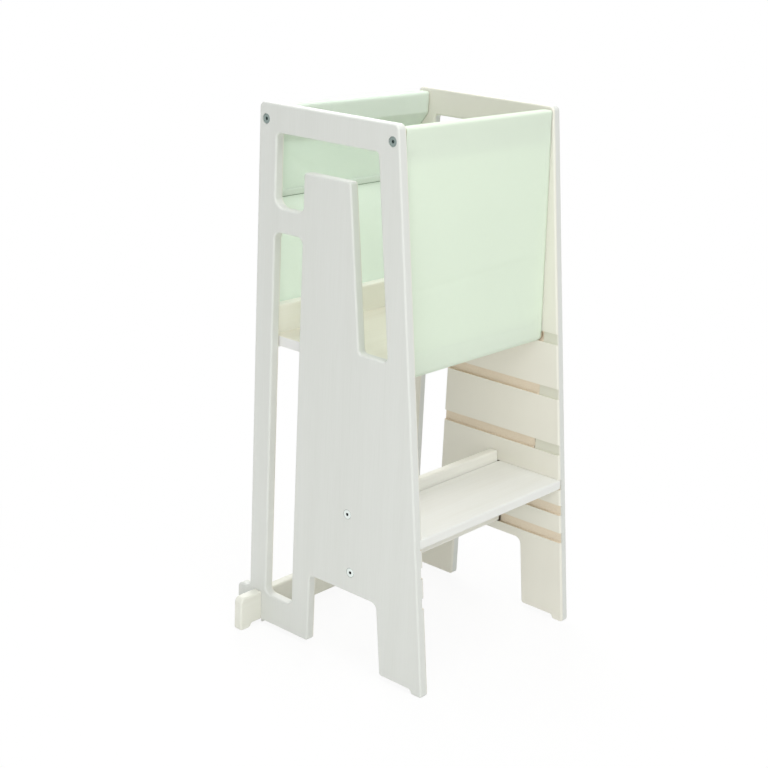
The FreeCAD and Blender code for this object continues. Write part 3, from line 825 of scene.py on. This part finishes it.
@dataclass
class ClothGuard:
    """A canvas guard: a sleeve round its rail, a sheet, and a hem channel round its rod.

    It is drawn in its own frame, where +Y points out of the tower, and turned at the end. The inner
    end of the sleeve may hang on down the sheet, loose, with a turned-up hem.
    """

    name: str
    solid: str
    rail: str
    rod: str
    outward: int
    hem_rise: float
    folds: tuple[Fold, ...] = ()
    loose_end: str = ""
    sleeve_seam_drop: float = 8.0
    sleeve_stitched: bool = True
    hem_slant: float = 0.0
    rail_round: float = 3.0
    thickness: float = 1.2
    stand_off: float = 1.05
    layer_gap: float = 1.45
    layer_slack: float = 0.2
    seam_allowance: float = 6.0
    side_hem: float = 12.0
    loose_hem: float = 12.0
    fold_radius: float = 0.65
    columns: int = 92
    grid: float = 4.0
    bend_steps: int = 4
    fold_steps: int = 6
    rod_steps: int = 8
    # Where the stitches start, from the side edges, the hem's foot, and the loose end's fold, where
    # the painted shadow line runs.
    side_margin: float = 2.5
    side_seam_start: float = 14.0
    shadow_line_rise: float = 0.2
    # The seams sink in and hold the sheet, and its doubled hems stand out of it.
    seam_sink: float = 0.3
    seam_reach: float = 3.5
    seam_hold: float = 60.0
    held_ripple: float = 0.25
    hem_step: float = 0.3
    hem_step_from: Point = (-3.0, 1.0)
    side_step: float = 0.45
    # The sheet lies still at the rod and at the rail, and is free between these heights from them.
    rod_hold: Point = (-2.0, 14.0)
    rail_hold: Point = (-6.0, 4.0)
    rail_bend: float = 8.0
    # The least and the usual gap under the loose end's fold.
    hang_least: float = 0.4
    hang_usual: float = 1.5

    def __post_init__(self) -> None:
        """Reads the rail, the rod and the width from the frame, in millimetres."""
        low, high = (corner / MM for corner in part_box(self.rail))
        self.rail_half = (high.y - low.y) / 2
        self.rail_y = self.outward * (low.y + high.y) / 2
        self.rail_low, self.rail_top = low.z, high.z
        low, high = (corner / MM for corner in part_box(self.rod))
        self.rod_at = (self.outward * (low.y + high.y) / 2, (low.z + high.z) / 2)
        self.rod_wrap = (high.z - low.z) / 2 + self.stand_off
        low, high = (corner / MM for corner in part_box(self.solid))
        self.half_width = (high.x - low.x) / 2
        self.ripple = Wave(0.5, 70, 120, self.outward * 3.7)
        self.corner = self.rail_round + self.stand_off
        self.kink = (self.rail_y + self.rail_half + self.stand_off, self.rail_low + self.rail_round)
        self.leave_angle = tangent_angle(self.kink, self.rod_at, self.rod_wrap, -1)
        self.leave = on_circle(self.rod_at, self.rod_wrap, self.leave_angle)
        self.flat: Point = (0.0, 0.0)
        self.loose_length = 0.0
        self.loose_low = 0.0
        if self.loose_end:
            self.loose_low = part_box(self.loose_end)[0].z / MM + self.thickness / 2

    def sheet_y(self, z: float) -> float:
        """Returns how far out the flat sheet's middle is at a height."""
        share = (z - self.leave[1]) / (self.kink[1] - self.leave[1])
        return self.leave[0] + (self.kink[0] - self.leave[0]) * min(1.0, max(0.0, share))

    def hem_seam(self) -> Point:
        """Returns where the hem's inner layer meets the sheet."""
        z = self.rod_at[1] - self.rod_wrap + self.hem_rise
        return self.sheet_y(z) - self.layer_gap, z

    def sleeve_seam(self) -> Point:
        """Returns where the sleeve's inner layer meets the sheet."""
        z = self.rail_low - self.sleeve_seam_drop
        return self.sheet_y(z) - self.layer_gap, z

    def draw_inner_end(self) -> ClothLine:
        """Draws the cut line from its inner end to the sleeve's seam."""
        seam = self.sleeve_seam()
        if not self.loose_end:
            line = ClothLine(-self.half_width, (seam[0], seam[1] - self.seam_allowance), self.grid)
            line.run_to(seam)
            return line
        front = self.sheet_y(self.loose_low) - self.layer_gap
        back = front - 2 * self.fold_radius
        fold_z = self.loose_low + self.fold_radius
        line = ClothLine(-self.half_width, (back, self.loose_low + self.loose_hem), self.grid)
        line.run_to((back, fold_z))
        line.turn_about((front - self.fold_radius, fold_z), math.pi, self.fold_steps)
        line.run_to(seam)
        self.loose_length = line.measure()
        return line

    def draw_line(self) -> ClothLine:
        """Draws the whole cut line: seam, sleeve, sheet, hem channel and back to its seam."""
        inner_y = self.rail_y - self.rail_half
        outer_y = self.rail_y + self.rail_half
        low_centre = (inner_y + self.rail_round, self.rail_low + self.rail_round)
        top_z = self.rail_top - self.rail_round
        line = self.draw_inner_end()
        touch = tangent_angle(self.sleeve_seam(), low_centre, self.corner, -1)
        line.run_to(on_circle(low_centre, self.corner, touch))
        line.turn_about(low_centre, -(touch + math.pi) % (-2 * math.pi), self.bend_steps)
        line.run_to((inner_y - self.stand_off, top_z))
        line.turn_about((inner_y + self.rail_round, top_z), -math.pi / 2, self.bend_steps)
        line.run_to((outer_y - self.rail_round, self.rail_top + self.stand_off))
        line.turn_about((outer_y - self.rail_round, top_z), -math.pi / 2, self.bend_steps)
        line.run_to(self.kink)
        line.run_to(self.leave)
        meet = self.hem_seam()
        arrive = tangent_angle(meet, self.rod_at, self.rod_wrap, 1)
        turn = (self.leave_angle - arrive) % (2 * math.pi)
        steps = max(self.rod_steps, round(turn * self.rod_wrap / (self.grid / 2)))
        line.turn_about(self.rod_at, -turn, steps)
        line.run_to(meet)
        end_z = meet[1] + self.seam_allowance
        line.run_to((self.sheet_y(end_z) - self.layer_gap, end_z))
        return line

    def lift(self, x: float, z: float) -> float:
        """Works out how far the sheet stands off its flat line.

        Args:
            x: place across the sheet.
            z: height on the sheet.

        Returns:
            The lift in millimetres, outwards.
        """
        _, hem = self.hem_seam()
        _, sleeve = self.sleeve_seam()
        free = smooth_step(hem, hem + self.seam_hold, z)
        free *= 1 - smooth_step(sleeve - self.seam_hold, sleeve, z)
        lift = self.ripple.at(x, z) * (self.held_ripple + free)
        lift += sum(fold.lift(x, z) for fold in self.folds)
        hem += self.hem_slant * x
        for seam in (hem, sleeve) if self.sleeve_stitched else (hem,):
            near = math.exp(-((z - seam) / self.seam_reach) ** 2)
            lift += near * (PUCKER.at(x, z) - self.seam_sink)
        start, end = self.hem_step_from
        lift += self.hem_step * (1 - smooth_step(hem + start, hem + end, z))
        side = self.half_width - self.side_hem
        lift += self.side_step * smooth_step(side - 1, side + 1, abs(x))
        start, end = self.rod_hold
        held = smooth_step(self.rod_at[1] + start, self.rod_at[1] + end, z)
        start, end = self.rail_hold
        return lift * held * (1 - smooth_step(self.rail_low + start, self.rail_low + end, z))

    def hang(self, x: float, z: float) -> float:
        """Returns how far the loose end hangs off the sheet at a place, in millimetres inwards."""
        share = smooth_step(self.sleeve_seam()[1], self.loose_low, z)
        gap = self.hang_usual + BROAD_HANG.at(x, z) + FINE_HANG.at(x, z)
        return share * max(self.hang_least, gap)

    def on_face(self, flat: Vector) -> Vector:
        """Puts a point of the flat sheet on its outer face, in the tower's frame."""
        out = self.sheet_y(flat.z) + self.lift(flat.x, flat.z) + self.thickness / 2
        return Vector((flat.x, self.outward * out, flat.z))

    def on_loose_end(self, flat: Vector) -> Vector:
        """Puts a point of the flat sheet on the inner face of the loose end's hem."""
        inner = self.sheet_y(flat.z) - self.layer_gap - 2 * self.fold_radius - self.thickness / 2
        out = inner + self.lift(flat.x, flat.z) - self.hang(flat.x, flat.z)
        return Vector((flat.x, self.outward * out, flat.z))

    def draw_hem_shadow_line(self, finish: Material) -> Object:
        """Sews thick dark stitches along the loose end's lower edge as a painted shadow line, and
        returns them.
        """
        mesh = bmesh.new()
        reach = self.half_width - self.side_margin
        z = self.loose_low + self.shadow_line_rise
        SHADOW_LINE_STITCHES.sew(mesh, Vector((-reach, 0, z)), Vector((reach, 0, z)), self.on_loose_end)
        return to_piece(mesh, self.name + "_hem_shadow_line", finish)

    def build_sheet(self, finish: Material) -> Object:
        """Makes the cloth of a canvas, and returns its object."""
        line = self.draw_line()
        length = line.measure()
        line.sweep(2 * self.half_width, self.columns)
        line.lay_uv(MINT_CANVAS.uv_map)
        reach = self.layer_gap + self.layer_slack
        for vert in line.mesh.verts:
            x, y, z = vert.co
            if vert[line.along] < self.loose_length:
                vert.co.y += self.lift(x, z) - self.hang(x, z)
            elif y > self.sheet_y(z) - reach and z < self.rail_low + self.rail_bend:
                vert.co.y += self.lift(x, z)
        bmesh.ops.scale(line.mesh, verts=line.mesh.verts, vec=(1, self.outward, 1))
        bmesh.ops.recalc_face_normals(line.mesh, faces=line.mesh.faces)
        cloth = to_piece(line.mesh, self.name, finish)
        wall = cloth.modifiers.new("thickness", "SOLIDIFY")
        wall.thickness = self.thickness * MM
        wall.offset = 0
        self.flat = (2 * self.half_width * MM, length * MM)
        solids = [self.solid, self.loose_end] if self.loose_end else [self.solid]
        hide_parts(*solids)
        return cloth

    def build_stitches(self, finish: Material) -> Object:
        """Sews the hem, the sleeve and the side hems with a thread, and returns the stitches."""
        mesh = bmesh.new()
        seam = Seam()
        _, hem = self.hem_seam()
        _, sleeve = self.sleeve_seam()
        reach = self.half_width - self.side_margin
        rows = [(hem, self.hem_slant * reach)]
        if self.sleeve_stitched:
            rows.append((sleeve, 0.0))
        for z, slope in rows:
            ends = (Vector((-reach, 0, z - slope)), Vector((reach, 0, z + slope)))
            seam.sew(mesh, *ends, self.on_face)
        side = self.half_width - self.side_hem
        start = hem - self.hem_rise + self.side_seam_start
        for x in (-side, side):
            seam.sew(mesh, Vector((x, 0, start)), Vector((x, 0, sleeve)), self.on_face)
        return to_piece(mesh, self.name + "_stitches", finish)

    def build(self, canvas: Material, thread: Material) -> None:
        """Args:
            canvas: the cloth's finish.
            thread: the stitches' finish.
        """
        cloth = self.build_sheet(canvas)
        sewn = [self.build_stitches(thread)]
        if self.loose_end:
            sewn.append(self.draw_hem_shadow_line(SHADOW_LINE_THREAD.build()))
        LOG.info("%s: flat size %.0f x %.0f mm", self.name, self.flat[0] / MM, self.flat[1] / MM)


def seen_directly(tree: NodeTree) -> NodeSocket:
    """Returns 1 for rays of the camera, of reflections and through glass, and 0 for the rest."""
    path = add_node(tree, "LightPath")
    seen = path.outputs["Is Camera Ray"]
    for kind in ("Is Glossy Ray", "Is Transmission Ray"):
        both = add_node(tree, "Math", {0: seen, 1: path.outputs[kind]}, operation="MAXIMUM")
        seen = both.outputs[0]
    return seen


@dataclass(frozen=True)
class StudioFloor(Finish):
    """A chalky white floor that keeps a trace of the shadow near the tower and is white beyond."""

    chalk: str = "#F4F4F2"
    # It shows a share of the shadow up to the first distance, and none past the second, in metres.
    shadow_reach: Point = (0.25, 0.9)
    shadow_share: float = 0.1

    def shade(self, tree: NodeTree) -> Node:
        """Draws the chalk, and the white over it that only direct rays see."""
        place = add_node(tree, "TexCoord").outputs["Object"]
        away = add_node(tree, "VectorMath", {0: place}, operation="LENGTH")
        near, far = self.shadow_reach
        fade = add_node(tree, "MapRange", {
            "Value": away.outputs["Value"], "From Min": near, "From Max": far,
            "To Min": 1 - self.shadow_share}, interpolation_type="SMOOTHSTEP")
        share = add_node(tree, "Math", {0: fade, 1: seen_directly(tree)}, operation="MULTIPLY")
        chalk = add_node(tree, "BsdfDiffuse", {"Color": linear(self.chalk)})
        white = add_node(tree, "Emission", {"Color": (1, 1, 1, 1), "Strength": 1.0})
        return add_node(tree, "MixShader", {0: share, 1: chalk, 2: white})


@dataclass
class Studio:
    """The camera, the floor, the lamps and the white surroundings."""

    location: Place = (-1.8925, -1.5565, 1.2232)
    aim: Place = (-0.0417, 0.0218, 0.4578)
    roll_deg: float = 2.838
    lens: float = 71.415
    shift: Point = (-0.00887, -0.01616)
    view_depth: float = 60.0
    floor_size: float = 14.0
    # The lamps face a point this high up the tower.
    lamp_aim: Place = (0.0, 0.0, 0.45)

    def place_camera(self) -> None:
        """Sets the camera where the photograph was taken from."""
        data = bpy.data.cameras.new("camera")
        data.lens = self.lens
        data.shift_x, data.shift_y = self.shift
        data.clip_end = self.view_depth
        camera = add_object("camera", data)
        way = Vector(self.aim) - Vector(self.location)
        turn = way.to_track_quat("-Z", "Y") @ Quaternion((0, 0, 1), math.radians(self.roll_deg))
        camera.rotation_mode = "QUATERNION"
        camera.location = self.location
        camera.rotation_quaternion = turn
        bpy.context.scene.camera = camera

    def lay_floor(self) -> None:
        """Lays the floor."""
        mesh = bmesh.new()
        bmesh.ops.create_grid(mesh, x_segments=1, y_segments=1, size=self.floor_size / 2)
        data = bpy.data.meshes.new("floor")
        mesh.to_mesh(data)
        mesh.free()
        data.materials.append(StudioFloor("studio_floor").build())
        add_object("floor", data)

    def light_world(self) -> None:
        """Makes the surroundings white to the eye and a plain soft light for the tower."""
        world = bpy.data.worlds.new("surroundings")
        world.use_nodes = True
        tree = world.node_tree
        tree.nodes.clear()
        soft = add_node(tree, "Background", {"Color": (0.97, 0.985, 1.0, 1), "Strength": 0.40})
        white = add_node(tree, "Background", {"Color": (1, 1, 1, 1), "Strength": 1.0})
        shader = add_node(tree, "MixShader", {0: seen_directly(tree), 1: soft, 2: white})
        add_node(tree, "OutputWorld", {"Surface": shader})
        bpy.context.scene.world = world

    def hang_lamp(self, name: str, place: Place, size: float, power: float) -> None:
        """Hangs one soft lamp that faces the tower's middle.

        Args:
            name: the lamp's name.
            place: where it hangs, in metres.
            size: the length of its side.
            power: its power in watts.
        """
        data = bpy.data.lights.new(name, "AREA")
        data.shape = "SQUARE"
        data.size = size
        data.energy = power
        lamp = add_object(name, data)
        lamp.location = place
        way = Vector(self.lamp_aim) - Vector(place)
        lamp.rotation_mode = "QUATERNION"
        lamp.rotation_quaternion = way.to_track_quat("-Z", "Y")

    def build(self) -> None:
        """Sets up the whole studio."""
        bpy.context.scene.view_settings.view_transform = "Standard"
        self.place_camera()
        self.lay_floor()
        self.light_world()
        self.hang_lamp("side_lamp", (-2.5, -1.5, 1.0), 2.2, 30)
        self.hang_lamp("high_lamp", (-0.5, -2.0, 3.2), 2.2, 42)
        self.hang_lamp("top_lamp", (0.0, 0.3, 3.0), 2.0, 37)
        self.hang_lamp("back_lamp", (1.8, 2.2, 1.5), 2.2, 42)


FRONT_FOLDS = (
    Fold((-150, 640), (126, 650), 3.5, -0.9),
    Fold((0, 650), (150, 660), 12.0, 0.7),
    Fold((40, 622), (170, 628), 22.0, -0.8),
    Fold((93, 610), (119, 562), 5.0, 0.8),
    Fold((-37, 589), (-46, 557), 4.0, -0.5),
    Fold((-180, 850), (-180, 545), 24.0, -1.8),
)
REAR_FOLDS = (
    Fold((-120, 700), (60, 640), 22.0, 1.2),
    Fold((-172, 842), (-100, 800), 9.0, -1.6),
    Fold((-150, 800), (-60, 770), 14.0, 1.2),
    Fold((-20, 845), (60, 815), 10.0, -1.0),
)


def guards() -> tuple[ClothGuard, ClothGuard]:
    """Returns the two guards, the step side's first."""
    return (
        ClothGuard("front_guard", "front_cloth", "front_top_rail", "front_hem_rod", -1, 36.0,
                   FRONT_FOLDS, sleeve_stitched=False, hem_slant=-0.03),
        ClothGuard("rear_guard", "rear_cloth", "rear_top_rail", "rear_hem_rod", 1, 9.0,
                   REAR_FOLDS, loose_end="rear_cloth_flap", sleeve_seam_drop=26.0),
    )


def main() -> None:
    """Builds the studio, dresses the frame and makes the cloth."""
    logging.basicConfig(level=logging.INFO, format="%(name)s: %(message)s")
    Studio().build()
    Joinery().build()
    Fixings().build()
    thread = MINT_THREAD.build()
    for guard, canvas in zip(guards(), (MINT_CANVAS, LIT_CANVAS)):
        guard.build(canvas.build(), thread)


if __name__ == "__main__":
    main()
